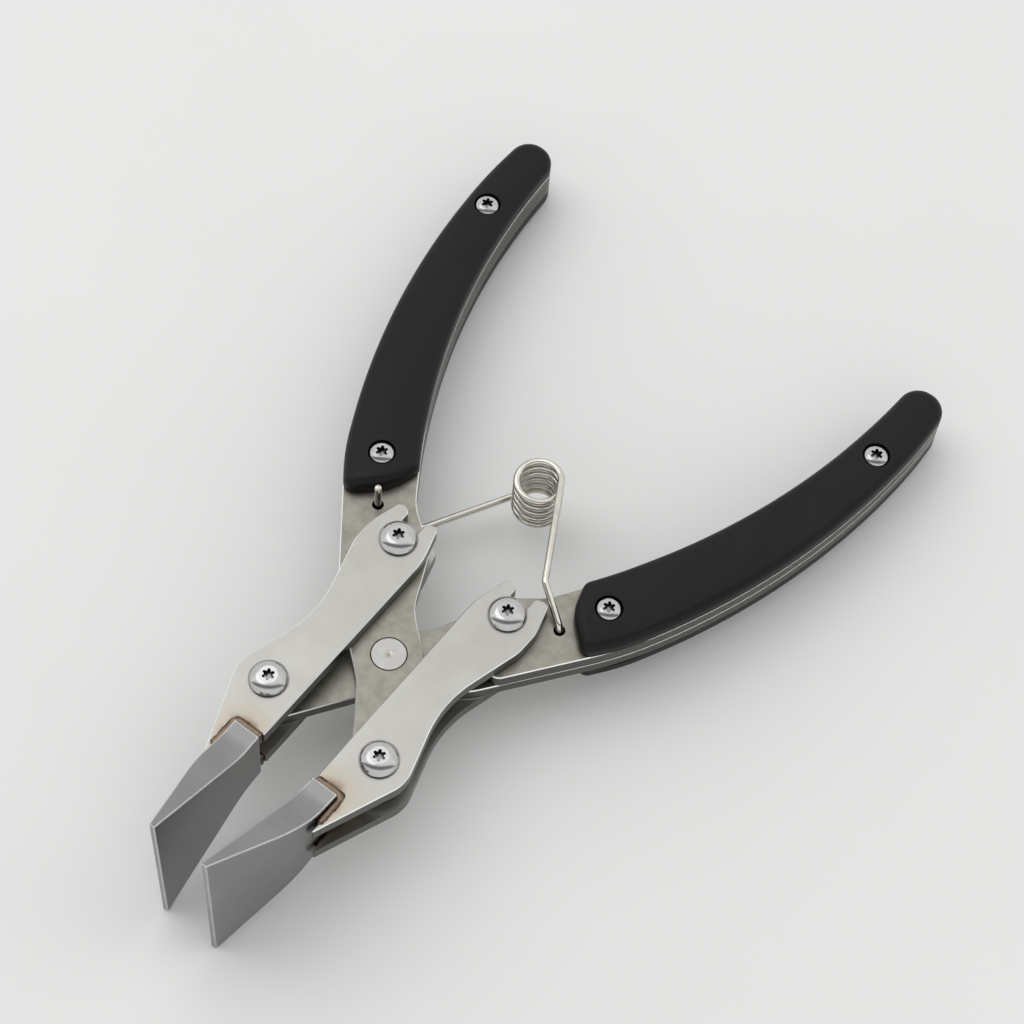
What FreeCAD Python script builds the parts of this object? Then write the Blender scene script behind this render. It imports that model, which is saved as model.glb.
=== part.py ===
import FreeCAD, Part
import os
from math import acos, atan2, cos, degrees, hypot, pi, radians, sin, sqrt, tan

# Parallel-action pliers with wide flared jaws, sizes in millimetres.
# Origin: on the central pivot, half way through the stack of plates.
# +Z runs along the pivot, the jaws point to -Y and the handles to +Y.
# The lever with the left handle (x < 0) lies in the upper layer and crosses
# to the right jaw; the lever with the right handle lies in the lower layer.
# The tool is drawn open, as its spring holds it.

# --- linkage -------------------------------------------------------------
PIN_RADIUS = 25.0  # central pivot to each jaw pin
OPEN_HALF_ANGLE = 34.3  # pin line to the tool's centre line, open
PLATE = 3.0  # thickness of every steel plate
LAYER_GAP = 0.2  # running gap between plates that slide on each other
RUNNING_FIT = 0.05  # radial clearance of a pin that turns in a plate
EDGE_BREAK = 0.2  # chamfer along the plates' outlines

# --- fasteners -----------------------------------------------------------
SLEEVE_R = 2.2  # jaw pin sleeve
JAW_HEAD_R = 4.0
JAW_HEAD_H = 1.9
JAW_BOLT_R = 1.45
HANDLE_HEAD_R = 2.85
HANDLE_HEAD_H = 1.3
HANDLE_BOLT_R = 1.25
HANDLE_SLEEVE_R = 1.9
SOCKET_R = 1.35  # to the points of the six-lobed socket
SOCKET_DEPTH = 1.25
SOCKET_LAND = 0.25  # least flat crown round the socket
HEAD_CROWN = 0.49  # flat crown, against the head's radius
HEAD_RIM = 0.22  # straight rim, against the head's height
HEAD_SHOULDER = (0.80, 0.62)  # dome's middle point, across and up from the rim
SPACER_R = 5.0
RIVET_HEAD_R = 3.7
RIVET_HEAD_H = 1.1
RIVET_R = 2.6
RIVET_DIMPLE_R = 0.9
RIVET_RING = 0.12  # shadow gap round the flush rivet head

# --- jaws ----------------------------------------------------------------
GRIP_PROUD = 0.09  # grip face beyond the plates' inner edge, at the back of the nose
JAW_TOE_IN = 2.1  # degrees that the grip face leans to the centre line
JAW_BOSS = 7.2  # plate edge from the front pin
SLOT_PLAY = 0.06  # each side of the sleeve in the fork
SLOT_STOP = 0.1  # sleeve to the bottom of the fork when open
FORK_REACH = 6.85  # fork's mouth beyond the rear pin
FINGER_TIP_R = 1.25
NOTCH_BACK = 9.95  # plate's notch edge ahead of the front pin
NOTCH_GAP = 1.5  # weld gap behind the nose
NOTCH_SIDE_GAP = 1.0  # weld gap beside the nose
NOTCH_ARM = 11.2  # length of the plate's arm beside the nose
NOTCH_ARM_LEAN = 0.64  # the arm's inner edge leans in with the nose
WELD_ARM = 8.3  # length of the bead beside the nose
NOSE_LENGTH = 30.9
NOSE_BACK_WIDTH = 6.1
NOSE_TIP_WIDTH = 1.3
NOSE_BACK_HEIGHT = 15.8
NOSE_TIP_HEIGHT = 41.4
NOSE_SHOULDER = 5.6  # straight length behind the flare
NOSE_EDGE = 0.15  # chamfer along its ground edges
WELD_CROWN = 0.45  # weld bead above the plate

# --- handles -------------------------------------------------------------
LEVER_BOSS = 5.9
HANDLE_LENGTH = 95.05  # rear pin to the middle of the tail, along Y
HANDLE_SPREAD = 38.45  # the same across X
TAIL_WIDTH = 10.15
INNER_BOW = 5.48  # depth of the handle's curve on each edge
OUTER_BOW = 6.81
INNER_START = (7.8, 17.0)  # where the curved edges begin, from the rear pin
OUTER_START = (18.57, 3.5)
TAIL_LEAN = 0.4  # the tail's end corners are this much narrower
SCALE_THICKNESS = 4.3
SCALE_CROWN_R = 24.0
SCALE_ROUND = 2.1  # rounding of the wood's upper edge
HEAD_RECESS = 1.0  # counterbore depth in the wood
HEAD_CLEARANCE = 0.1
NEAR_SCREW = (15.4, 13.75)  # first handle screw from the rear pin
FAR_SCREW = (-0.68, -16.13)  # second handle screw from the middle of the tail

# --- spring --------------------------------------------------------------
WIRE_R = 0.75
COIL_R = 4.65  # to the middle of the wire
COIL_Y = 50.0  # coil axis from the pivot
COIL_PITCH = 2.28
COIL_FULL_TURNS = 5
COIL_MID_Z = 1.0
SPRING_HOLE_R = 1.25
SPRING_HOLE_X = 9.55  # hole from the rear pin
SPRING_HOLE_Y = 5.21
ARM_BEND_X = 1.55  # last bend from the rear pin
ARM_BEND_Y = 10.6
LEG_LENGTH = 14.0
LEG_GAP = 0.35  # wire to the plate it lies over
SPLIT_GAP = 2.0  # degrees between the spring's two halves
BEND_SWELL = 1.05  # ball at each bend, against the wire

# --- layers, worked out from the plates ----------------------------------
MID = LAYER_GAP / 2
CORE = MID + PLATE  # outer face of each lever
JAW_IN = CORE + LAYER_GAP
JAW_OUT = JAW_IN + PLATE
HEAD_SEAT = JAW_OUT + LAYER_GAP
WOOD_TOP = CORE + SCALE_THICKNESS

PIN_X = PIN_RADIUS * sin(radians(OPEN_HALF_ANGLE))
PIN_Y = PIN_RADIUS * cos(radians(OPEN_HALF_ANGLE))
FRONT_PIN = (PIN_X, -PIN_Y)
REAR_PIN = (PIN_X, PIN_Y)
JAW_INNER_X = PIN_X - JAW_BOSS
JAW_GRIP_X = JAW_INNER_X - GRIP_PROUD
NOTCH_Y = -PIN_Y - NOTCH_BACK
NOSE_BACK_Y = NOTCH_Y - NOTCH_GAP
NOTCH_X = JAW_GRIP_X + NOSE_BACK_WIDTH + NOTCH_SIDE_GAP
SPRING_HOLE = (PIN_X + SPRING_HOLE_X, PIN_Y + SPRING_HOLE_Y)

Vector = FreeCAD.Vector
BOW_CORNERS = 6  # tangent corners that draw one long arc
UP = Vector(0, 0, 1)


# --- drawing helpers -----------------------------------------------------
def rounded_face(corners):
    """A face inside corners of (x, y, radius), each rounded by a tangent arc."""
    points = [Vector(x, y, 0) for x, y, r in corners]
    arcs = []
    for i, (x, y, radius) in enumerate(corners):
        before = points[i - 1] - points[i]
        after = points[(i + 1) % len(points)] - points[i]
        half = before.getAngle(after) / 2
        reach = min(radius / tan(half), before.Length / 2, after.Length / 2)
        radius = reach * tan(half)
        before.normalize()
        after.normalize()
        middle = points[i] + (before + after).normalize() * (radius / sin(half) - radius)
        arcs.append((points[i] + before * reach, middle, points[i] + after * reach))
    edges = []
    for i, (start, middle, end) in enumerate(arcs):
        if (end - start).Length > 1e-4:
            edges.append(Part.Arc(start, middle, end).toShape())
        following = arcs[(i + 1) % len(arcs)][0]
        if (following - end).Length > 1e-4:
            edges.append(Part.LineSegment(end, following).toShape())
    return Part.Face(Part.Wire(edges))


def plate(corners, low, high):
    """A flat plate with rounded corners between two heights."""
    face = rounded_face(corners)
    face.translate(Vector(0, 0, low))
    return face.extrude(Vector(0, 0, high - low))


def bow(start, end, depth):
    """Corners that draw an arc bulging to the right of start to end."""
    chord = Vector(end[0] - start[0], end[1] - start[1], 0)
    radius = (chord.Length ** 2 / 4 + depth ** 2) / (2 * depth)
    side = Vector(chord.y, -chord.x, 0).normalize()
    centre = Vector(*start, 0) + chord / 2 + side * (depth - radius)
    sweep = 2 * atan2(chord.Length / 2, radius - depth)
    first = Vector(start[0], start[1], 0) - centre
    spin = FreeCAD.Rotation
    corners = []
    for k in range(BOW_CORNERS):
        share = (k + 0.5) / BOW_CORNERS
        turned = spin(UP, degrees(sweep * share)).multVec(first)
        corner = centre + turned / cos(sweep / (2 * BOW_CORNERS))
        corners.append((corner.x, corner.y, radius))
    return corners


def mirrored(shape):
    """The same shape on the other side of the centre line."""
    return shape.mirror(Vector(0, 0, 0), Vector(1, 0, 0))


def flipped(shape):
    """The same shape on the other face of the tool."""
    return shape.mirror(Vector(0, 0, 0), Vector(0, 0, 1))


def disc(centre, radius, low, high):
    """An upright cylinder."""
    return Part.makeCylinder(radius, high - low, Vector(centre[0], centre[1], low))


def broken_edges(shape, levels):
    """Chamfers the long outline edges that lie flat at the given heights."""
    chosen = []
    for edge in shape.Edges:
        box = edge.BoundBox
        flat = box.ZLength < 1e-6 and any(abs(box.ZMin - level) < 1e-6 for level in levels)
        if flat and edge.Length > 4 * EDGE_BREAK:
            chosen.append(edge)
    return shape.makeChamfer(EDGE_BREAK, chosen)


def put(name, *solids):
    """Writes one sub-part; several solids make a group of identical pieces."""
    shape = solids[0] if len(solids) == 1 else Part.makeCompound(list(solids))
    shape.exportStep("parts/" + name + ".step")


# --- fasteners -----------------------------------------------------------
def six_lobes(centre, low, high):
    """The six-lobed socket of a screw."""
    lobe_r = 0.26 * SOCKET_R
    socket = disc(centre, SOCKET_R - 1.25 * lobe_r, low, high)
    for i in range(6):
        angle = i * pi / 3
        reach = SOCKET_R - lobe_r
        lobe = (centre[0] + reach * cos(angle), centre[1] + reach * sin(angle))
        socket = socket.fuse(disc(lobe, lobe_r, low, high))
    return socket


def domed_head(centre, seat, radius, height):
    """A low dome with a short straight rim and a small flat crown."""
    rim = HEAD_RIM * height
    crown_r = max(HEAD_CROWN * radius, SOCKET_R + SOCKET_LAND)
    shoulder_z = rim + HEAD_SHOULDER[1] * (height - rim)
    shoulder = Vector(HEAD_SHOULDER[0] * radius, 0, shoulder_z)
    outline = Part.Wire([
        Part.LineSegment(Vector(0, 0, 0), Vector(radius, 0, 0)).toShape(),
        Part.LineSegment(Vector(radius, 0, 0), Vector(radius, 0, rim)).toShape(),
        Part.Arc(Vector(radius, 0, rim), shoulder, Vector(crown_r, 0, height)).toShape(),
        Part.LineSegment(Vector(crown_r, 0, height), Vector(0, 0, height)).toShape(),
        Part.LineSegment(Vector(0, 0, height), Vector(0, 0, 0)).toShape(),
    ])
    head = Part.Face(outline).revolve(Vector(0, 0, 0), UP, 360)
    head.translate(Vector(centre[0], centre[1], seat))
    return head


def screw(centre, seat, head_r, head_h, bolt_r, bolt_end):
    """A domed screw, head up, whose bolt ends at bolt_end."""
    head = domed_head(centre, seat, head_r, head_h)
    body = head.fuse(disc(centre, bolt_r, bolt_end, seat + 0.2 * head_h))
    top = seat + head_h
    return body.cut(six_lobes(centre, top - SOCKET_DEPTH, top + 1)).removeSplitter()


def barrel_nut(centre, seat, head_r, head_h, sleeve_r, bore_r, sleeve_end, bore_end):
    """A domed nut, head down at -seat, with a sleeve up to sleeve_end."""
    head = flipped(domed_head(centre, seat, head_r, head_h))
    body = head.fuse(disc(centre, sleeve_r, -seat - 0.2 * head_h, sleeve_end))
    return body.cut(disc(centre, bore_r, bore_end, sleeve_end + 1)).removeSplitter()


# --- jaws ----------------------------------------------------------------
def jaw_plate_corners():
    """The outline of the right jaw's plates."""
    slot = SLEEVE_R + SLOT_PLAY
    inner = JAW_INNER_X - 0.05
    mouth = PIN_Y + FORK_REACH
    tip = FINGER_TIP_R
    return [
        (inner, NOTCH_Y, 0.3),
        (inner, PIN_Y - 1.2, 16.0),
        (PIN_X - slot - 2.5, mouth + 0.5, tip),
        (PIN_X - slot, mouth - 0.5, tip),
        (PIN_X - slot, PIN_Y - slot - SLOT_STOP, slot),
        (PIN_X + slot, PIN_Y - slot - SLOT_STOP, slot),
        (PIN_X + slot, mouth - 0.4, tip),
        (PIN_X + slot + 2.9, mouth + 0.6, tip),
        (PIN_X + 7.2, PIN_Y + 0.2, 9.0),
        (PIN_X + 7.1, PIN_Y - 5.4, 9.0),
        (PIN_X + 1.95, -0.15 * PIN_Y, 26.0),
        (PIN_X + 7.4, -PIN_Y - 0.8, 8.0),
        (NOTCH_X - NOTCH_ARM_LEAN, NOTCH_Y - NOTCH_ARM, 0.25),
        (NOTCH_X, NOTCH_Y, 0.7),
    ]


def jaw_plate():
    """The upper plate of the right jaw, forked behind and notched in front."""
    body = plate(jaw_plate_corners(), JAW_IN, JAW_OUT)
    body = broken_edges(body, [JAW_OUT])
    return body.cut(disc(FRONT_PIN, SLEEVE_R + RUNNING_FIT, JAW_IN - 1, JAW_OUT + 1))


def grip_x(y):
    """The grip face's distance from the centre line."""
    return JAW_GRIP_X + (y - NOSE_BACK_Y) * tan(radians(JAW_TOE_IN))


def nose():
    """The right nose: straight at the back, flared and thinned to the tip."""
    tip_y = NOSE_BACK_Y - NOSE_LENGTH
    shoulder_y = NOSE_BACK_Y - NOSE_SHOULDER
    outer_x = JAW_GRIP_X + NOSE_BACK_WIDTH
    plan = plate([
        (grip_x(NOSE_BACK_Y), NOSE_BACK_Y, 0),
        (outer_x, NOSE_BACK_Y, 0),
        (outer_x - 0.25, tip_y + 0.64 * NOSE_LENGTH, 40.0),
        (grip_x(tip_y) + NOSE_TIP_WIDTH, tip_y, 0),
        (grip_x(tip_y), tip_y, 0),
    ], -NOSE_TIP_HEIGHT, NOSE_TIP_HEIGHT)
    side = rounded_face([
        (NOSE_BACK_Y, -NOSE_BACK_HEIGHT / 2, 0),
        (NOSE_BACK_Y, NOSE_BACK_HEIGHT / 2, 0),
        (shoulder_y, NOSE_BACK_HEIGHT / 2 + 0.15, 18.0),
        (tip_y, NOSE_TIP_HEIGHT / 2, 0),
        (tip_y, -NOSE_TIP_HEIGHT / 2, 0),
        (shoulder_y, -NOSE_BACK_HEIGHT / 2 - 0.15, 18.0),
    ])
    side.rotate(Vector(0, 0, 0), Vector(1, 1, 1), 120)  # the drawing's X, Y become Y, Z
    body = plan.common(side.extrude(Vector(2 * outer_x, 0, 0)))
    chosen = []
    for edge in body.Edges:
        box = edge.BoundBox
        smooth_seam = box.YLength < 1e-6 and tip_y + 0.01 < box.YMin < NOSE_BACK_Y - 0.01
        if not smooth_seam:
            chosen.append(edge)
    return body.makeChamfer(NOSE_EDGE, chosen)


def weld():
    """The bead that fills the notch between the upper plate and the nose."""
    inner = JAW_INNER_X
    bead = plate([
        (inner, NOTCH_Y, 0.2),
        (inner, NOSE_BACK_Y - 0.5, 0.2),
        (inner + 2, NOSE_BACK_Y - 0.5, 0.2),
        (inner + 2, NOTCH_Y - WELD_ARM, 0.2),
        (NOTCH_X + 0.3, NOTCH_Y - WELD_ARM, 0.2),
        (NOTCH_X, NOTCH_Y, 0.7),
    ], JAW_IN, JAW_OUT + WELD_CROWN)
    return bead.cut(nose()).cut(jaw_plate())


# --- handles -------------------------------------------------------------
def handle_edges():
    """Start and tail points of the right handle's inner and outer edges."""
    tail = (PIN_X + HANDLE_SPREAD, PIN_Y + HANDLE_LENGTH)
    half = TAIL_WIDTH / 2
    inner = (PIN_X + INNER_START[0], PIN_Y + INNER_START[1]), (tail[0] - half, tail[1])
    outer = (PIN_X + OUTER_START[0], PIN_Y + OUTER_START[1]), (tail[0] + half, tail[1])
    return inner, outer


def handle_back():
    """Corners round the handle, from its outer start by the tail to its inner start."""
    inner, outer = handle_edges()
    rising = bow(outer[0], outer[1], OUTER_BOW)
    falling = [(x, y, r) for x, y, r in reversed(bow(inner[0], inner[1], INNER_BOW))]
    round_tail = 0.46 * TAIL_WIDTH
    cap = [
        (outer[1][0] - TAIL_LEAN, outer[1][1] + TAIL_WIDTH / 2, round_tail),
        (inner[1][0] + TAIL_LEAN, inner[1][1] + TAIL_WIDTH / 2, round_tail),
    ]
    return rising + cap + falling


def lever_corners():
    """The outline of the lever with the right handle, from its outer start on."""
    inner, outer = handle_edges()
    back_x, back_y = -PIN_X / PIN_RADIUS, -PIN_Y / PIN_RADIUS  # towards the front pin
    side_x, side_y = -back_y, back_x
    end = LEVER_BOSS
    arm_right = (-PIN_X + (back_x + side_x) * end, -PIN_Y + (back_y + side_y) * end)
    arm_left = (-PIN_X + (back_x - side_x) * end, -PIN_Y + (back_y - side_y) * end)
    return handle_back() + [
        (inner[0][0] - 4.6, inner[0][1] - 7.2, 14.0),
        (PIN_X - 5.9, PIN_Y + 3.2, 6.0),
        (2.5, 11.2, 12.0),
        (-6.5, 3.5, 12.0),
        (arm_left[0], arm_left[1], end),
        (arm_right[0], arm_right[1], end),
        (0.8, -9.2, 12.0),
        (PIN_X + 3.4, 5.2, 14.0),
    ]


def filler_corners():
    """The outline of the filler plate beside the lever, rounded behind the pivot."""
    inner, outer = handle_edges()
    return handle_back() + [
        (inner[0][0] - 4.6, inner[0][1] - 7.2, 14.0),
        (PIN_X - 6.4, PIN_Y + 2.4, 6.0),
        (PIN_X - 6.4, PIN_Y - 6.4, 6.0),
        (PIN_X + 5.9, PIN_Y - 12.2, 2.4),
    ]


def handle_screw_places():
    """Centres of the right handle's two screws."""
    near = (PIN_X + NEAR_SCREW[0], PIN_Y + NEAR_SCREW[1])
    tail = (PIN_X + HANDLE_SPREAD, PIN_Y + HANDLE_LENGTH)
    return [near, (tail[0] + FAR_SCREW[0], tail[1] + FAR_SCREW[1])]


def drilled(shape, low, high):
    """A handle layer with its screw, spring and rear pin holes."""
    for place in handle_screw_places():
        shape = shape.cut(disc(place, HANDLE_SLEEVE_R, low - 1, high + 1))
    shape = shape.cut(disc(SPRING_HOLE, SPRING_HOLE_R, low - 1, high + 1))
    return shape.cut(disc(REAR_PIN, SLEEVE_R, low - 1, high + 1))


def right_lever():
    """The lever with the right handle, in the lower layer."""
    body = plate(lever_corners(), -CORE, -MID)
    body = broken_edges(body, [-CORE, -MID])
    body = drilled(body, -CORE, -MID)
    left_front = (-PIN_X, -PIN_Y)
    return body.cut(disc(left_front, SLEEVE_R, -CORE - 1, 0))


def right_filler():
    """The plate that fills the upper layer of the right handle."""
    body = plate(filler_corners(), -MID, CORE)
    return drilled(broken_edges(body, [CORE]), -MID, CORE)


def crowned_ring(centre, path_r, half_width):
    """A ring round a centre, whose section is domed to the height of the wood."""
    shoulder = WOOD_TOP - SCALE_CROWN_R + sqrt(SCALE_CROWN_R ** 2 - half_width ** 2)
    near, far = path_r - half_width, path_r + half_width
    top_near, top_far = Vector(near, 0, shoulder), Vector(far, 0, shoulder)
    low_near, low_far = Vector(near, 0, CORE - 1), Vector(far, 0, CORE - 1)
    section = Part.Wire([
        Part.LineSegment(low_near, low_far).toShape(),
        Part.LineSegment(low_far, top_far).toShape(),
        Part.Arc(top_far, Vector(path_r, 0, WOOD_TOP), top_near).toShape(),
        Part.LineSegment(top_near, low_near).toShape(),
    ])
    ring = Part.Face(section).revolve(Vector(0, 0, 0), UP, 360)
    ring.translate(centre)
    return ring


def right_scale():
    """The upper wooden scale of the right handle, crowned across and rounded."""
    inner, outer = handle_edges()
    corners = handle_back() + [
        (inner[0][0] - 0.3, inner[0][1] - 0.6, 2.4),
        (inner[0][0] + 1.9, inner[0][1] - 7.8, 12.0),
        (outer[0][0] - 1.7, outer[0][1] - 0.9, 2.4),
    ]
    body = plate(corners, CORE, WOOD_TOP + 1)
    middle_a = Vector((inner[0][0] + outer[0][0]) / 2, (inner[0][1] + outer[0][1]) / 2, 0)
    middle_b = Vector((inner[1][0] + outer[1][0]) / 2, inner[1][1], 0)
    chord = middle_b - middle_a
    depth = (INNER_BOW + OUTER_BOW) / 2
    path_r = (chord.Length ** 2 / 4 + depth ** 2) / (2 * depth)
    side = Vector(chord.y, -chord.x, 0).normalize()
    centre = middle_a + chord / 2 + side * (depth - path_r)
    width = hypot(outer[0][0] - inner[0][0], outer[0][1] - inner[0][1])
    body = body.common(crowned_ring(centre, path_r, width / 2 + 3))
    rim = [e for e in body.Edges if e.BoundBox.ZMin > CORE + 0.5 and e.Length > 0.5]
    body = body.makeFillet(SCALE_ROUND, rim)
    for place in handle_screw_places():
        body = body.cut(disc(place, HANDLE_SLEEVE_R, CORE - 1, WOOD_TOP))
        floor = WOOD_TOP - HEAD_RECESS
        recess_r = HANDLE_HEAD_R + HEAD_CLEARANCE
        body = body.cut(disc(place, recess_r, floor, WOOD_TOP + 1))
    return body


# --- spring --------------------------------------------------------------
def wire_on(coiled, points):
    """Adds straight wire through the points, with a ball at each bend."""
    for start, end in zip(points, points[1:]):
        ball = Part.makeSphere(WIRE_R * BEND_SWELL, start)
        piece = Part.makeCylinder(WIRE_R, (end - start).Length, start, end - start)
        coiled = coiled.fuse(ball).fuse(piece)
    return coiled


def coil(bottom, top_angle, sweep):
    """Wire wound clockwise as it rises, ending at top_angle after sweep degrees."""
    height = COIL_PITCH * sweep / 360
    helix = Part.makeHelix(COIL_PITCH, height, COIL_R, 0, True)
    start_angle = top_angle + sweep
    helix.rotate(Vector(0, 0, 0), UP, start_angle)
    slope = COIL_PITCH / (2 * pi * COIL_R)
    profile = Part.Wire(Part.makeCircle(WIRE_R, Vector(COIL_R, 0, 0), Vector(0, -1, slope)))
    profile.rotate(Vector(0, 0, 0), UP, start_angle)
    body = Part.Wire(helix.Edges).makePipeShell([profile], True, True)
    body.translate(Vector(0, COIL_Y, bottom))
    return body


def spring_halves():
    """The lower and upper halves of the spring, cut half way up the coil."""
    bend = Vector(PIN_X + ARM_BEND_X, PIN_Y + ARM_BEND_Y, 0)
    to_bend = bend - Vector(0, COIL_Y, 0)
    bend_angle = degrees(atan2(to_bend.y, to_bend.x))
    leave = bend_angle + degrees(acos(COIL_R / to_bend.Length))
    sweep = 360 * COIL_FULL_TURNS + 180 - 2 * leave
    low = COIL_MID_Z - COIL_PITCH * sweep / 720
    high = 2 * COIL_MID_Z - low
    half_sweep = sweep / 2 - SPLIT_GAP / 2
    lower = coil(low, 180 - leave - half_sweep, half_sweep)
    upper = coil(high - COIL_PITCH * half_sweep / 360, leave, half_sweep)
    tangent = Vector(COIL_R * cos(radians(leave)), COIL_Y + COIL_R * sin(radians(leave)), 0)
    over = CORE + LEG_GAP + WIRE_R

    def arm(side, coil_z, plate_z, leg_end):
        return [
            Vector(side * tangent.x, tangent.y, coil_z),
            Vector(side * bend.x, bend.y, coil_z),
            Vector(side * SPRING_HOLE[0], SPRING_HOLE[1], plate_z),
            Vector(side * SPRING_HOLE[0], SPRING_HOLE[1], leg_end),
        ]

    lower = wire_on(lower, arm(-1, low, -over, LEG_LENGTH - over))
    upper = wire_on(upper, arm(1, high, over, over - LEG_LENGTH))
    return lower, upper


# --- the assembly --------------------------------------------------------
os.makedirs("parts", exist_ok=True)

# Levers and fillers. The left handle is the right one turned over.
LOWER = right_lever()
UPPER = flipped(mirrored(LOWER))
well_r = RIVET_HEAD_R + RIVET_RING
well = disc((0, 0), well_r, CORE - RIVET_HEAD_H - RIVET_RING, CORE + 1)
seat = disc((0, 0), well_r, CORE - RIVET_HEAD_H, CORE + 1)
UPPER = UPPER.cut(seat).cut(disc((0, 0), RIVET_R, -1, CORE))
LOWER = LOWER.cut(flipped(well)).cut(disc((0, 0), RIVET_R + RUNNING_FIT, -CORE, 1))
put("left_lever", UPPER)
put("right_lever", LOWER)
put("right_filler", right_filler())
put("left_filler", flipped(mirrored(right_filler())))

# The flush rivet: its upper head is seated, its lower head turns free.
rivet = disc((0, 0), RIVET_HEAD_R, CORE - RIVET_HEAD_H, CORE)
rivet = rivet.fuse(disc((0, 0), RIVET_HEAD_R, -CORE, -CORE + RIVET_HEAD_H))
rivet = rivet.fuse(disc((0, 0), RIVET_R, -CORE + RIVET_HEAD_H / 2, CORE - RIVET_HEAD_H / 2))
dimple = Part.makeSphere(3 * RIVET_DIMPLE_R, Vector(0, 0, CORE + 2.85 * RIVET_DIMPLE_R))
put("pivot_rivet", rivet.cut(dimple).removeSplitter())

# Wooden scales on both faces of both handles.
SCALE = right_scale()
put("right_scale_top", SCALE)
put("right_scale_bottom", flipped(SCALE))
put("left_scale_top", mirrored(SCALE))
put("left_scale_bottom", flipped(mirrored(SCALE)))

# Handle screws and their barrel nuts, two of each in a handle.
wood_seat = WOOD_TOP - HEAD_RECESS
for side, name in ((1, "right"), (-1, "left")):
    places = [(side * x, y) for x, y in handle_screw_places()]
    screws = [
        screw(p, wood_seat, HANDLE_HEAD_R, HANDLE_HEAD_H, HANDLE_BOLT_R, -CORE) for p in places
    ]
    nuts = [
        barrel_nut(p, wood_seat, HANDLE_HEAD_R, HANDLE_HEAD_H, HANDLE_SLEEVE_R,
                   HANDLE_BOLT_R, wood_seat, -CORE)
        for p in places
    ]
    put(name + "_handle_screws", *screws)
    put(name + "_handle_nuts", *nuts)

# Jaw plates, noses and welds.
PLATE_TOP = jaw_plate()
NOSE = nose()
WELD = weld()
for name, turn in (("right", lambda s: s), ("left", mirrored)):
    put(name + "_jaw_top_plate", turn(PLATE_TOP))
    put(name + "_jaw_bottom_plate", turn(flipped(PLATE_TOP)))
    put(name + "_nose", turn(NOSE))
    put(name + "_jaw_welds", turn(WELD), turn(flipped(WELD)))

# Jaw pins: a screw in a sleeve that stands a little proud of the plates, so
# that the jaws stay free. A spacer fills the empty layer at each front pin.
PINS = {
    "right_jaw_pivot": FRONT_PIN,
    "left_jaw_pivot": (-PIN_X, -PIN_Y),
    "right_guide": REAR_PIN,
    "left_guide": (-PIN_X, PIN_Y),
}
for name, place in PINS.items():
    bolt_end = -JAW_IN
    put(name + "_screw", screw(place, HEAD_SEAT, JAW_HEAD_R, JAW_HEAD_H, JAW_BOLT_R, bolt_end))
    put(name + "_sleeve", barrel_nut(place, HEAD_SEAT, JAW_HEAD_R, JAW_HEAD_H, SLEEVE_R,
                                     JAW_BOLT_R, HEAD_SEAT, bolt_end))
spacer = disc(FRONT_PIN, SPACER_R, -CORE, MID).cut(disc(FRONT_PIN, SLEEVE_R, -CORE - 1, 1))
put("right_jaw_pivot_spacer", spacer)
put("left_jaw_pivot_spacer", flipped(mirrored(spacer)))

# The torsion spring that opens the tool.
spring_lower, spring_upper = spring_halves()
put("spring_lower", spring_lower)
put("spring_upper", spring_upper)
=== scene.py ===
from math import acos, atan2, cos, degrees, pi, radians, sin, tan

import bpy
from mathutils import Matrix, Vector


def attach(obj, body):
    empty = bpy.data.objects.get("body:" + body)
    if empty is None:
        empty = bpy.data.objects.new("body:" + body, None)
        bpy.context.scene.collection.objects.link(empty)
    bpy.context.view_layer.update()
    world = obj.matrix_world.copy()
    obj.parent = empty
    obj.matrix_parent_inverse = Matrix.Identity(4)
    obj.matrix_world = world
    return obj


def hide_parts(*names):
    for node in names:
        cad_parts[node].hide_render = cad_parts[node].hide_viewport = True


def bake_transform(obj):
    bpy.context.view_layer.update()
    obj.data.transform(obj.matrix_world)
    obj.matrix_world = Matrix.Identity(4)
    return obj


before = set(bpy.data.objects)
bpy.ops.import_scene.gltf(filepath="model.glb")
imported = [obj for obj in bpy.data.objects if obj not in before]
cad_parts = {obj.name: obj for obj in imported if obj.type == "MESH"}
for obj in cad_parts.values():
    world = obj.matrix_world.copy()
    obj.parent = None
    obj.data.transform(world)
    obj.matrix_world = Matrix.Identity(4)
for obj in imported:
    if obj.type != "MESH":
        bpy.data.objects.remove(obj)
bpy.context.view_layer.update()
MM = 0.001

# Sizes repeated from the CAD source, in millimetres.
PIN_X = 14.088
JAW_BOSS = 7.2
JAW_IN, JAW_OUT = 3.3, 6.3
RIVET_HEAD_R = 3.7
WIRE_R = 0.75
COIL_R, COIL_Y, COIL_PITCH, COIL_MID_Z = 4.65, 50.0, 2.28, 1.0
COIL_TURNS = 5  # and the part turn between the two arms
SPRING_HOLE = (23.638, 25.863)
ARM_BEND = (15.638, 31.253)
LEG_LENGTH, ARM_Z = 14.0, 4.2
NOTCH_Y, NOTCH_X = -30.603, 13.9
NOTCH_GAP, NOTCH_SIDE_GAP, WELD_ARM = 1.5, 1.0, 8.3


# --- camera --------------------------------------------------------------
AZIMUTH, ELEVATION, ROLL = radians(32.447), radians(59.336), radians(5.683)
LENS = 92.155
ALONG_RIGHT, ALONG_UP, ALONG_BACK = 24.907, 29.662, 529.86  # from the pivot, in mm
LIFT = Vector((0, 0, 1.0))  # then straight up

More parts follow.
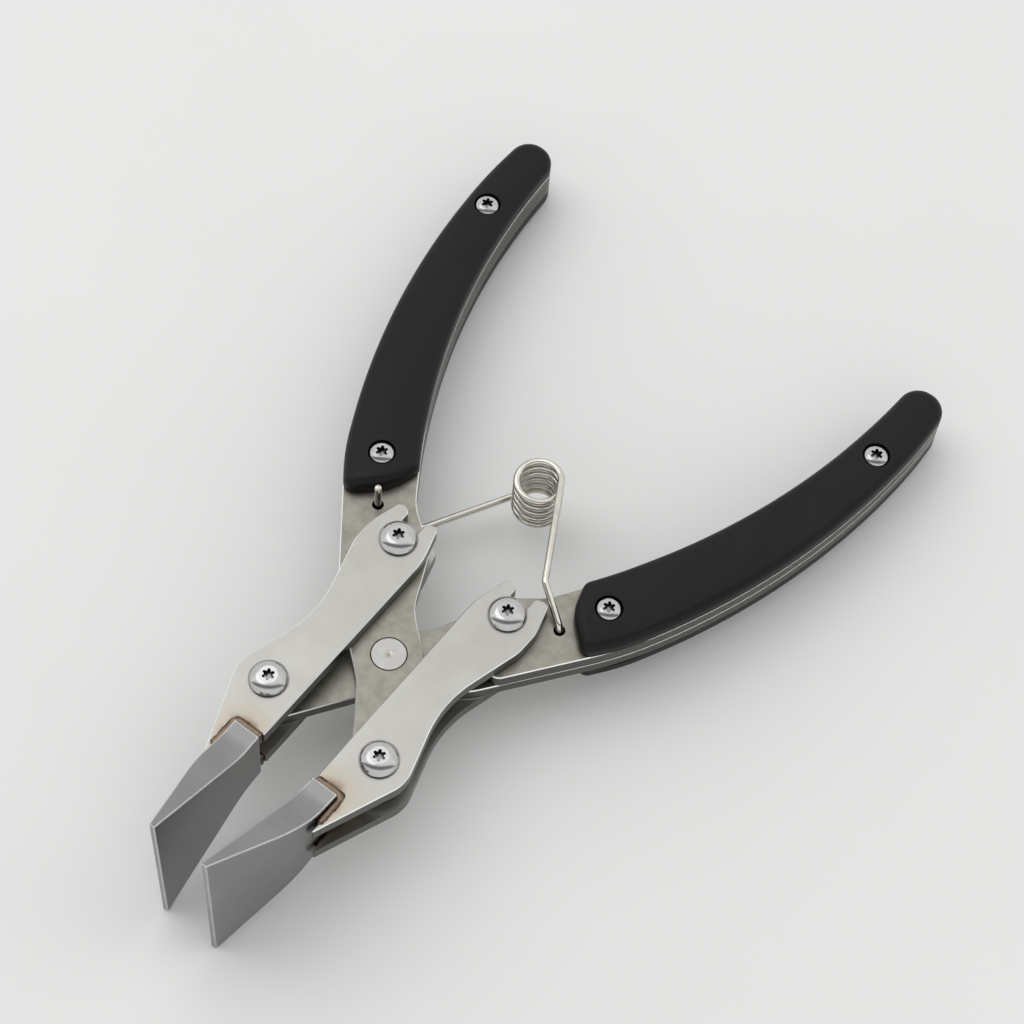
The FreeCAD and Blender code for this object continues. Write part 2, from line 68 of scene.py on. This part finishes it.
# The camera's own directions, turned by its roll.
back = Vector((sin(AZIMUTH) * cos(ELEVATION), -cos(AZIMUTH) * cos(ELEVATION), sin(ELEVATION)))
right = Vector((cos(AZIMUTH), sin(AZIMUTH), 0))
up = back.cross(right)
view_right = right * cos(ROLL) + up * sin(ROLL)
view_up = up * cos(ROLL) - right * sin(ROLL)
camera_data = bpy.data.cameras.new("camera")
camera_data.lens = LENS
camera_data.sensor_width = 36
camera_data.clip_end = 20
camera = bpy.data.objects.new("camera", camera_data)
bpy.context.scene.collection.objects.link(camera)
place = (view_right * ALONG_RIGHT + view_up * ALONG_UP + back * ALONG_BACK + LIFT) * MM
turn = Matrix((view_right, view_up, back)).transposed().to_4x4()
camera.matrix_world = Matrix.Translation(place) @ turn
bpy.context.scene.camera = camera


# --- meshes --------------------------------------------------------------
def mesh_piece(name, verts, faces, smooth=True):
    """A new object from vertices in millimetres."""
    mesh = bpy.data.meshes.new(name)
    mesh.from_pydata([Vector(v) * MM for v in verts], [], faces)
    mesh.validate()
    mesh.update()
    for polygon in mesh.polygons:
        polygon.use_smooth = smooth
    piece = bpy.data.objects.new(name, mesh)
    bpy.context.scene.collection.objects.link(piece)
    return piece


def rounded_path(corners, step=0.12):
    """Points along straight runs whose corners (point, radius) are arcs."""
    points = [Vector(corners[0][0])]
    for i in range(1, len(corners) - 1):
        here, radius = Vector(corners[i][0]), corners[i][1]
        before = (Vector(corners[i - 1][0]) - here).normalized()
        after = (Vector(corners[i + 1][0]) - here).normalized()
        half = before.angle(after) / 2
        reach = radius / tan(half)
        centre = here + (before + after).normalized() * (radius / sin(half))
        start, end = here + before * reach - centre, here + after * reach - centre
        sweep = start.angle(end)
        count = max(3, int(sweep * radius / step))
        for k in range(count + 1):
            share = k / count
            mixed = start * (sin((1 - share) * sweep) / sin(sweep))
            mixed += end * (sin(share * sweep) / sin(sweep))
            points.append(centre + mixed)
    points.append(Vector(corners[-1][0]))
    return points


def tube(points, radius, sides=24):
    """Vertices and faces of a round wire along points, with rounded ends."""
    path = [Vector(p) for p in points]
    tangents = [
        (path[min(i + 1, len(path) - 1)] - path[max(i - 1, 0)]).normalized()
        for i in range(len(path))
    ]
    side = tangents[0].orthogonal().normalized()
    rings = []
    last = len(path) - 1
    for i, (point, along) in enumerate(zip(path, tangents)):
        side = (side - along * side.dot(along)).normalized()
        other = along.cross(side)
        layers = [(0.0, 1.0)]
        if i == 0:
            layers = [(-0.55, 0.45), (-0.4, 0.78), (-0.18, 0.95), (0.0, 1.0)]
        if i == last:
            layers = [(0.0, 1.0), (0.18, 0.95), (0.4, 0.78), (0.55, 0.45)]
        for shift, swell in layers:
            centre = point + along * (shift * radius)
            rings.append([
                centre + (side * cos(a) + other * sin(a)) * (radius * swell)
                for a in (2 * pi * k / sides for k in range(sides))
            ])
    return skin(rings)


def skin(rings):
    """Joins rings of equally many points and closes both ends."""
    sides = len(rings[0])
    verts = [v for ring in rings for v in ring]
    faces = []
    for i in range(len(rings) - 1):
        low, high = i * sides, (i + 1) * sides
        for k in range(sides):
            n = (k + 1) % sides
            faces.append((low + k, low + n, high + n, high + k))
    faces.append(tuple(reversed(range(sides))))
    top = (len(rings) - 1) * sides
    faces.append(tuple(range(top, top + sides)))
    return verts, faces


# --- materials -----------------------------------------------------------
class Finish:
    """A material whose nodes are added and linked a line at a time."""

    def __init__(self, name, **values):
        self.material = bpy.data.materials.new(name)
        self.material.use_nodes = True
        self.tree = self.material.node_tree
        self.bsdf = self.tree.nodes["Principled BSDF"]
        for socket, value in values.items():
            self.bsdf.inputs[socket.replace("_", " ")].default_value = value
        self.place = self.node("ShaderNodeTexCoord").outputs["Object"]

    def node(self, kind, **settings):
        made = self.tree.nodes.new(kind)
        for key, value in settings.items():
            setattr(made, key, value)
        return made

    def feed(self, socket, value):
        if isinstance(value, bpy.types.NodeSocket):
            self.tree.links.new(value, socket)
        else:
            socket.default_value = value

    def maths(self, operation, a, b=0.0):
        made = self.node("ShaderNodeMath", operation=operation)
        self.feed(made.inputs[0], a)
        self.feed(made.inputs[1], b)
        return made.outputs[0]

    def parts(self, vector):
        """The X, Y and Z sockets of a vector."""
        made = self.node("ShaderNodeSeparateXYZ")
        self.feed(made.inputs[0], vector)
        return made.outputs

    def length(self, x, y):
        """The length of a flat vector from its two parts."""
        squares = self.maths("ADD", self.maths("MULTIPLY", x, x), self.maths("MULTIPLY", y, y))
        return self.maths("POWER", squares, 0.5)

    def facing(self, normal="Normal"):
        """1 where a face is level, 0 where it is upright."""
        normals = self.node("ShaderNodeNewGeometry").outputs[normal]
        return self.maths("ABSOLUTE", self.parts(normals)["Z"])

    def stretched(self, scale):
        """The object's coordinates, scaled along each axis."""
        made = self.node("ShaderNodeMapping")
        self.feed(made.inputs["Vector"], self.place)
        made.inputs["Scale"].default_value = scale
        return made.outputs[0]

    def noise(self, size, detail=3.0, rough=0.5, bend=0.0, place=None):
        """Cloudy noise whose patches are about size millimetres across."""
        made = self.node("ShaderNodeTexNoise")
        self.feed(made.inputs["Vector"], self.place if place is None else place)
        made.inputs["Scale"].default_value = 1 / (size * MM)
        made.inputs["Detail"].default_value = detail
        made.inputs["Roughness"].default_value = rough
        made.inputs["Distortion"].default_value = bend
        return made.outputs["Fac"]

    def ramp(self, value, stops):
        made = self.node("ShaderNodeValToRGB")
        band = made.color_ramp
        while len(band.elements) < len(stops):
            band.elements.new(0.5)
        for element, (position, colour) in zip(band.elements, stops):
            element.position = position
            element.color = (*colour, 1) if len(colour) == 3 else colour
        self.feed(made.inputs[0], value)
        return made.outputs["Color"]

    def mix(self, share, a, b):
        made = self.node("ShaderNodeMix", data_type="RGBA")
        self.feed(made.inputs[0], share)
        self.feed(made.inputs[6], a if isinstance(a, bpy.types.NodeSocket) else (*a, 1))
        self.feed(made.inputs[7], b if isinstance(b, bpy.types.NodeSocket) else (*b, 1))
        return made.outputs[2]

    def between(self, value, low, high):
        """value from 0..1 stretched to low..high."""
        made = self.node("ShaderNodeMapRange")
        self.feed(made.inputs["Value"], value)
        made.inputs["To Min"].default_value = low
        made.inputs["To Max"].default_value = high
        return made.outputs[0]

    def bump(self, height, depth, strength):
        made = self.node("ShaderNodeBump")
        made.inputs["Strength"].default_value = strength
        made.inputs["Distance"].default_value = depth * MM
        self.feed(made.inputs["Height"], height)
        return made.outputs[0]

    def hollows(self, reach, shut=0.25, clear=0.62):
        """1 on open faces, falling to 0 deep in corners within reach millimetres; it masks
        painted shade.
        """
        made = self.node("ShaderNodeAmbientOcclusion", samples=6)
        made.inputs["Distance"].default_value = reach * MM
        spread = self.node("ShaderNodeMapRange", interpolation_type="SMOOTHSTEP")
        self.feed(spread.inputs["Value"], made.outputs["AO"])
        spread.inputs["From Min"].default_value = shut
        spread.inputs["From Max"].default_value = clear
        return spread.outputs[0]

    def colour(self, value):
        self.feed(self.bsdf.inputs["Base Color"], value)

    def colour_so_far(self):
        return self.bsdf.inputs["Base Color"].links[0].from_socket

    def roughness(self, value):
        self.feed(self.bsdf.inputs["Roughness"], value)

    def normal(self, value):
        self.feed(self.bsdf.inputs["Normal"], value)


BLACK, WHITE = (0, 0, 0), (1, 1, 1)
# near-black painted shade for corners, seams, sockets and the gaps between turns
PAINTED_CORNER_SHADE = (0.02, 0.019, 0.02)
# near-white painted highlight for the plates' chamfers
PAINTED_EDGE_HIGHLIGHT = (0.92, 0.92, 0.90)
# near-white painted highlight for the nose's corners
PAINTED_CORNER_HIGHLIGHT = (0.95, 0.95, 0.93)
TINT_CENTRE = (10.6, -33.4)  # about 4 mm inside the weld's corner, on either side
TINT_REACH = 14.0
TINT_WAVE = 1.3


def steel(name, dark, light, low, high, patch, grain=0.12, depth=0.004, reach=1.2):
    """Steel in two tones of soft patches, with fine grain and painted shade in its corners."""
    f = Finish(name, Metallic=1.0)
    cloud = f.ramp(f.noise(patch, 5, 0.6, 0.1), [(0.30, dark), (0.70, light)])
    fine = f.noise(grain, 2, 0.6)
    speckled = f.mix(f.between(fine, 0.0, 0.18), cloud, dark)
    # painted shade: faces deep in corners within reach millimetres turn near black
    f.colour(f.mix(f.hollows(reach), PAINTED_CORNER_SHADE, speckled))
    f.roughness(f.between(f.noise(patch * 0.35, 3), low, high))
    f.normal(f.bump(fine, depth, 0.6))
    return f


def cut_side_shade_and_edge_highlights(f, flat_colour, cut_and_shade_colour):
    """Upright sides dark, partly the colour that laser cutting leaves and partly painted
    shade, with painted highlights on the broken edges between them and the flat faces.
    """
    # upright sides take a dark colour, partly what laser cutting leaves and partly painted
    # shade
    level = f.facing("True Normal")
    # painted highlight: chamfers between the upright sides and the flat faces go near white
    bright = f.ramp(level, [(0.0, cut_and_shade_colour), (0.45, cut_and_shade_colour), (0.62, PAINTED_EDGE_HIGHLIGHT)])
    share = f.ramp(level, [(0.85, BLACK), (0.95, WHITE)])
    return f.mix(share, bright, flat_colour)


def painted_corner_highlights(f, width, dull_colour):
    """Corners within width millimetres are brighter than the faces: a painted highlight."""
    rounded = f.node("ShaderNodeBevel", samples=6)
    rounded.inputs["Radius"].default_value = width * MM
    dot = f.node("ShaderNodeVectorMath", operation="DOT_PRODUCT")
    f.feed(dot.inputs[0], rounded.outputs[0])
    f.feed(dot.inputs[1], f.node("ShaderNodeNewGeometry").outputs["Normal"])
    share = f.ramp(dot.outputs["Value"], [(0.94, WHITE), (0.995, BLACK)])
    return f.mix(share, dull_colour, PAINTED_CORNER_HIGHLIGHT)


def heat_tint(f, colour_before):
    """Brown and straw rings of heat round the weld's corner."""
    place = f.parts(f.place)
    across = f.maths("SUBTRACT", f.maths("ABSOLUTE", place["X"]), TINT_CENTRE[0] * MM)
    along = f.maths("SUBTRACT", place["Y"], TINT_CENTRE[1] * MM)
    wave = f.between(f.noise(2.5, 3), -TINT_WAVE * MM, TINT_WAVE * MM)
    reach = f.maths("ADD", f.length(across, along), wave)
    scaled = f.maths("DIVIDE", reach, TINT_REACH * MM)
    tint = f.ramp(scaled, [(0.20, (0.16, 0.10, 0.06)), (0.26, (0.28, 0.20, 0.13)),
                           (0.34, (0.40, 0.34, 0.25)), (0.50, (0.42, 0.38, 0.32)),
                           (0.70, (0.42, 0.41, 0.38))])
    share = f.ramp(scaled, [(0.20, (0.95, 0.95, 0.95)), (0.30, (0.55, 0.55, 0.55)),
                            (0.80, BLACK)])
    return f.mix(share, colour_before, tint)


def turned_face(f, colour_before):
    """A tan centre mark and a dark rim on the rivet, about the pivot's axis."""
    place = f.parts(f.place)
    out = f.maths("DIVIDE", f.length(place["X"], place["Y"]), RIVET_HEAD_R * MM)
    face = (0.46, 0.455, 0.44)
    tone = f.ramp(out, [(0.06, (0.30, 0.25, 0.18)), (0.14, face), (0.955, face),
                        (0.965, (0.02, 0.02, 0.02))])
    mask = f.ramp(out, [(0.10, WHITE), (0.20, BLACK), (0.95, BLACK), (0.96, WHITE)])
    return f.mix(mask, colour_before, tone)


def jaw_steel():
    f = steel("satin_jaw_steel", (0.40, 0.39, 0.365), (0.45, 0.445, 0.42), 0.30, 0.38, 9.0)
    # upright sides partly painted shade, chamfers a painted highlight
    f.colour(cut_side_shade_and_edge_highlights(f, heat_tint(f, f.colour_so_far()), (0.14, 0.135, 0.13)))
    return f


def lever_steel():
    f = steel("mottled_lever_steel", (0.235, 0.228, 0.19), (0.335, 0.325, 0.285),
              0.34, 0.44, 2.6)
    # upright sides partly painted shade, chamfers a painted highlight
    f.colour(cut_side_shade_and_edge_highlights(f, f.colour_so_far(), (0.12, 0.115, 0.105)))
    return f


def ground_steel():
    f = steel("ground_nose_steel", (0.24, 0.24, 0.24), (0.28, 0.28, 0.275),
              0.28, 0.34, 9.0, 0.1, 0.003)
    # the nose's corners get a painted highlight
    f.colour(painted_corner_highlights(f, 0.3, f.colour_so_far()))
    return f


def polished_screw():
    # the long reach of 3 mm paints shade near black into the star sockets and round the heads
    return steel("polished_screw", (0.46, 0.45, 0.445), (0.52, 0.515, 0.51),
                 0.12, 0.20, 2.0, 0.2, 0.001, 3.0)


def rivet_steel():
    f = steel("turned_rivet", (0.40, 0.39, 0.37), (0.46, 0.455, 0.44),
              0.28, 0.36, 2.0, 0.15, 0.002)
    f.colour(turned_face(f, f.colour_so_far()))
    return f


def spring_steel():
    # a reach of 1.6 mm paints shade between the close turns
    return steel("drawn_spring_wire", (0.56, 0.54, 0.49), (0.68, 0.66, 0.60),
                 0.08, 0.15, 3.0, 0.15, 0.0012, 1.6)


def weld_bead():
    """Dark heat colours with a painted highlight on the level crest and painted shade in its
    hollows.
    """
    f = Finish("tinted_weld_bead", Metallic=1.0)
    dark = f.ramp(f.noise(1.2, 4, 0.6, 0.8),
                  [(0.30, (0.035, 0.024, 0.02)), (0.45, (0.09, 0.06, 0.04)),
                   (0.58, (0.20, 0.15, 0.11)), (0.72, (0.08, 0.06, 0.06))])
    # painted highlight: faces that lie level get a lighter colour
    crest = f.ramp(f.facing(), [(0.975, BLACK), (0.999, WHITE)])
    tone = f.mix(crest, dark, (0.25, 0.19, 0.14))
    # painted shade: the bead's hollows and its joins with the plates go near black
    f.colour(f.mix(f.hollows(1.0, 0.3, 0.8), (0.015, 0.012, 0.012), tone))
    f.roughness(f.between(f.noise(0.5, 3), 0.28, 0.5))
    f.normal(f.bump(f.noise(0.3, 3), 0.01, 0.6))
    return f


def ebony():
    """Near-black oiled wood with its grain along the handle."""
    f = Finish("ebony", Specular_IOR_Level=0.2)
    grain = f.noise(1.0, 5, 0.65, 0.4, f.stretched((1, 0.08, 1)))
    streak = f.noise(5.0, 3, 0.5, 0.5, f.stretched((1, 0.15, 1)))
    tone = f.ramp(streak, [(0.3, (0.0035, 0.003, 0.0031)), (0.7, (0.007, 0.006, 0.006))])
    f.colour(f.mix(f.between(grain, 0.0, 0.35), tone, (0.016, 0.012, 0.011)))
    f.roughness(f.between(grain, 0.36, 0.50))
    f.normal(f.bump(grain, 0.02, 0.35))
    return f


FINISHES = {
    "jaw_steel": jaw_steel().material,
    "lever_steel": lever_steel().material,
    "ground_steel": ground_steel().material,
    "polished_screw": polished_screw().material,
    "rivet_steel": rivet_steel().material,
    "spring_wire": spring_steel().material,
    "weld_bead": weld_bead().material,
    "ebony": ebony().material,
}
SLOTS = {"jaw_steel": "jaw_top_plate jaw_bottom_plate",
         "lever_steel": "lever filler jaw_pivot_spacer",
         "ground_steel": "nose",
         "polished_screw": "handle_screws handle_nuts guide_screw guide_sleeve "
                           "jaw_pivot_screw jaw_pivot_sleeve",
         "ebony": "scale_top scale_bottom"}


def finish_cad_nodes():
    wanted = {"pivot_rivet": "rivet_steel"}
    for slot, tails in SLOTS.items():
        for tail in tails.split():
            wanted["right_" + tail] = slot
            wanted["left_" + tail] = slot
    for name, slot in wanted.items():
        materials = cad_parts[name].data.materials
        materials.clear()
        materials.append(FINISHES[slot])


finish_cad_nodes()


# --- spring --------------------------------------------------------------
COIL_STEPS = 340
LEG_BEND_R, ARM_BEND_R = 1.5, 2.2


def spring_path():
    """The wire's middle line, from the left leg's end to the right one's."""
    to_bend = Vector((ARM_BEND[0], ARM_BEND[1] - COIL_Y))
    leave = degrees(atan2(to_bend.y, to_bend.x) + acos(COIL_R / to_bend.length))
    sweep = COIL_TURNS * 360 + 180 - 2 * leave
    low = COIL_MID_Z - COIL_PITCH * sweep / 720
    high = 2 * COIL_MID_Z - low
    coil = []
    for k in range(COIL_STEPS + 1):
        angle = radians(180 - leave - sweep * k / COIL_STEPS)
        rise = low + (high - low) * k / COIL_STEPS
        coil.append(Vector((COIL_R * cos(angle), COIL_Y + COIL_R * sin(angle), rise)))

    def arm(side, coil_z, start):
        over = side * ARM_Z
        return rounded_path([
            ((side * SPRING_HOLE[0], SPRING_HOLE[1], over - side * LEG_LENGTH), 0),
            ((side * SPRING_HOLE[0], SPRING_HOLE[1], over), LEG_BEND_R),
            ((side * ARM_BEND[0], ARM_BEND[1], coil_z), ARM_BEND_R),
            (start, 0),
        ])

    left = arm(-1, low, coil[0])
    right_arm = arm(1, high, coil[-1])
    return left[:-1] + coil + right_arm[-2::-1]


spring = mesh_piece("spring_wire", *tube(spring_path(), WIRE_R))
spring.data.materials.append(FINISHES["spring_wire"])
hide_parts("spring_lower", "spring_upper")
# The blend slants through the coil, from its low turns to its high ones.
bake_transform(spring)


# --- weld beads ----------------------------------------------------------
BEAD_HALF, BEAD_CROWN = 0.86, 0.36
RIPPLE_HEIGHT, RIPPLE_LENGTH = 0.022, 0.62
BEAD_STEP = 0.1  # between rings
BEAD_TAPER = 0.9  # length of each rounded end
BEAD_CORNER_R = 1.3
BEAD_SHIFT = 0.05  # of its line from the middle of the gap
BEAD_INSET = 0.1  # of its foot and shoulders from the plate's two faces
CROWN_POINTS = 15


def weld_rings(side, face):
    """Rings along one rippled bead, on the jaw at side and the plate at face."""
    inner = PIN_X - JAW_BOSS
    beside = NOTCH_X - NOTCH_SIDE_GAP / 2 + BEAD_SHIFT
    behind = NOTCH_Y - NOTCH_GAP / 2 + BEAD_SHIFT
    path = rounded_path([((inner + 0.2, behind, 0), 0), ((beside, behind, 0), BEAD_CORNER_R),
                         ((beside, NOTCH_Y - WELD_ARM + 0.3, 0), 0)], BEAD_STEP)
    fine = [path[0]]
    for a, b in zip(path, path[1:]):
        parts = max(1, round((b - a).length / BEAD_STEP))
        fine += [a.lerp(b, k / parts) for k in range(1, parts + 1)]
    length = (len(fine) - 1) * BEAD_STEP
    low, edge = JAW_IN + BEAD_INSET, JAW_OUT - BEAD_INSET
    rings = []
    for i, point in enumerate(fine):
        along = (fine[min(i + 1, len(fine) - 1)] - fine[max(i - 1, 0)]).normalized()
        across = Vector((-along.y, along.x, 0))
        s = i * BEAD_STEP
        end = min(1.0, (min(s, length - s) + 0.05) / BEAD_TAPER)
        taper = (1 - (1 - end) ** 2) ** 0.5
        half = (BEAD_HALF + 0.05 * sin(s * 2.3 + side) + 0.04 * sin(s * 5.1)) * taper
        ring = [(-half, low)]
        for k in range(CROWN_POINTS):
            u = -1 + k / (CROWN_POINTS // 2)
            ripple = RIPPLE_HEIGHT * sin(2 * pi * (s / RIPPLE_LENGTH + 0.45 * u * u))
            crown = (BEAD_CROWN + ripple) * (1 - u ** 4) * (0.4 + 0.6 * taper)
            ring.append((half * u, edge + crown + 0.08))
        ring.append((half, low))
        rings.append([
            (side * (point.x + across.x * x), point.y + across.y * x, face * z)
            for x, z in ring
        ])
    return rings


def weld_pair(side, word):
    """Both beads of one jaw, in one piece."""
    verts, faces = [], []
    for face in (1, -1):
        more, patches = skin(weld_rings(side, face))
        start = len(verts)
        verts += more
        if side * face < 0:
            patches = [tuple(reversed(patch)) for patch in patches]
        faces += [tuple(start + v for v in patch) for patch in patches]
    piece = mesh_piece(word + "_weld_beads", verts, faces)
    piece.data.materials.append(FINISHES["weld_bead"])
    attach(piece, word + "_jaw")
    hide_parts(word + "_jaw_welds")


weld_pair(1, "right")
weld_pair(-1, "left")


# --- floor and light -----------------------------------------------------
FLOOR_HALF = 1600
FLOOR_GAP = 0.02
TIP_LENGTH = 5  # the handles lie more than this behind the lowest point
SKY_STRENGTH = 1.12
KEY_DISTANCE, KEY_SIZE, KEY_POWER = 1.1, 0.9, 1.5


def resting_plane():
    """The plane under the nose tips and the handles: a point and its slope."""
    low = []
    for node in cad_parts.values():
        low += [(v.co.y, v.co.z) for v in node.data.vertices]
    tip = min(low, key=lambda p: p[1])
    behind = [(y, z) for y, z in low if y > tip[0] + TIP_LENGTH * MM]
    slope = min((z - tip[1]) / (y - tip[0]) for y, z in behind)
    return Vector((0, tip[0], tip[1])), slope


FLOOR_POINT, FLOOR_SLOPE = resting_plane()
FLOOR_UP = Vector((0, -FLOOR_SLOPE, 1)).normalized()
FLOOR_POINT -= FLOOR_UP * FLOOR_GAP * MM


def floor_material():
    f = Finish("pale_floor", Roughness=0.85)
    f.colour(f.ramp(f.noise(60, 2), [(0.3, (0.79, 0.80, 0.785)), (0.7, (0.805, 0.815, 0.80))]))
    f.normal(f.bump(f.noise(0.4, 2), 0.01, 0.2))
    return f.material


floor = mesh_piece("floor", [(-FLOOR_HALF, -FLOOR_HALF, 0), (FLOOR_HALF, -FLOOR_HALF, 0),
                             (FLOOR_HALF, FLOOR_HALF, 0), (-FLOOR_HALF, FLOOR_HALF, 0)],
                   [(0, 1, 2, 3)], False)
floor.data.materials.append(floor_material())
floor.rotation_mode = "QUATERNION"
floor.rotation_quaternion = Vector((0, 0, 1)).rotation_difference(FLOOR_UP)
floor.location = FLOOR_POINT


def studio():
    """A light tent: bright overhead and low in front, with a dark band between them.

    The grey depends on the height of a direction, from level in front, through
    straight up, to level behind.
    """
    world = bpy.data.worlds.new("studio")
    bpy.context.scene.world = world
    world.use_nodes = True
    tree = world.node_tree
    shade = tree.nodes["Background"]
    coordinates = tree.nodes.new("ShaderNodeTexCoord")
    towards = tree.nodes.new("ShaderNodeVectorMath")
    towards.operation = "DOT_PRODUCT"
    towards.inputs[1].default_value = (sin(AZIMUTH), -cos(AZIMUTH), 0)
    upwards = tree.nodes.new("ShaderNodeVectorMath")
    upwards.operation = "DOT_PRODUCT"
    upwards.inputs[1].default_value = (0, 0, 1)
    angle = tree.nodes.new("ShaderNodeMath")
    angle.operation = "ARCTAN2"
    share = tree.nodes.new("ShaderNodeMath")
    share.operation = "DIVIDE"
    share.inputs[1].default_value = pi
    band = tree.nodes.new("ShaderNodeValToRGB")
    stops = [(0.0, 0.9), (0.14, 0.9), (0.24, 0.95), (0.30, 0.25), (0.39, 0.2), (0.46, 1.0),
             (0.60, 1.1), (0.70, 0.9), (0.85, 0.9), (1.0, 0.9)]
    while len(band.color_ramp.elements) < len(stops):
        band.color_ramp.elements.new(0.5)
    for element, (position, value) in zip(band.color_ramp.elements, stops):
        element.position = position
        element.color = (value, value, value, 1)
    link = tree.links.new
    link(coordinates.outputs["Generated"], towards.inputs[0])
    link(coordinates.outputs["Generated"], upwards.inputs[0])
    link(upwards.outputs["Value"], angle.inputs[0])
    link(towards.outputs["Value"], angle.inputs[1])
    link(angle.outputs[0], share.inputs[0])
    link(share.outputs[0], band.inputs[0])
    link(band.outputs["Color"], shade.inputs["Color"])
    shade.inputs["Strength"].default_value = SKY_STRENGTH


def area_light(name, direction, distance, size, power):
    data = bpy.data.lights.new(name, "AREA")
    data.shape = "DISK"
    data.size = size
    data.energy = power
    lamp = bpy.data.objects.new(name, data)
    bpy.context.scene.collection.objects.link(lamp)
    direction = Vector(direction).normalized()
    lamp.location = direction * distance + Vector((0, 0.03, 0))
    lamp.rotation_mode = "QUATERNION"
    lamp.rotation_quaternion = direction.to_track_quat("Z", "Y")


studio()
bpy.context.scene.view_settings.view_transform = "Standard"
key = view_up * 0.55 - view_right * 0.75 + Vector((0, 0, 1.6))
area_light("key", key, KEY_DISTANCE, KEY_SIZE, KEY_POWER)
